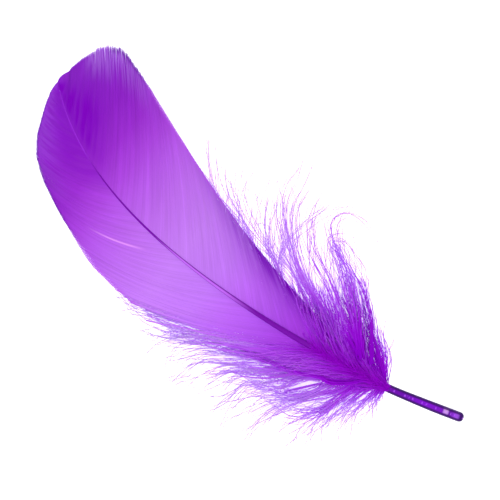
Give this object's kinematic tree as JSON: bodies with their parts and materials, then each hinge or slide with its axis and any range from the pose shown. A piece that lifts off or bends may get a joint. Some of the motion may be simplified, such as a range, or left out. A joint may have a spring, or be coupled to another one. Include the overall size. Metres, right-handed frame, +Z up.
{
  "type": "goose feather",
  "caption": "Dyed goose body feather lying domed side up: a bare quill, a curved shaft, a closed vane with one wide and one narrow side, and loose down at the base.",
  "frame": {"origin": "centre of the feather's box, on the surface that it lies on", "axes": "+X from the quill's end to the tip of the vane, +Y towards the narrow side of the vane, +Z up from the surface"},
  "size_m": [0.1492, 0.0702, 0.0095],
  "materials": {
    "feather": "satin"
  },
  "bodies": {
    "root": {"feather": "feather"}
  },
  "joints": []
}
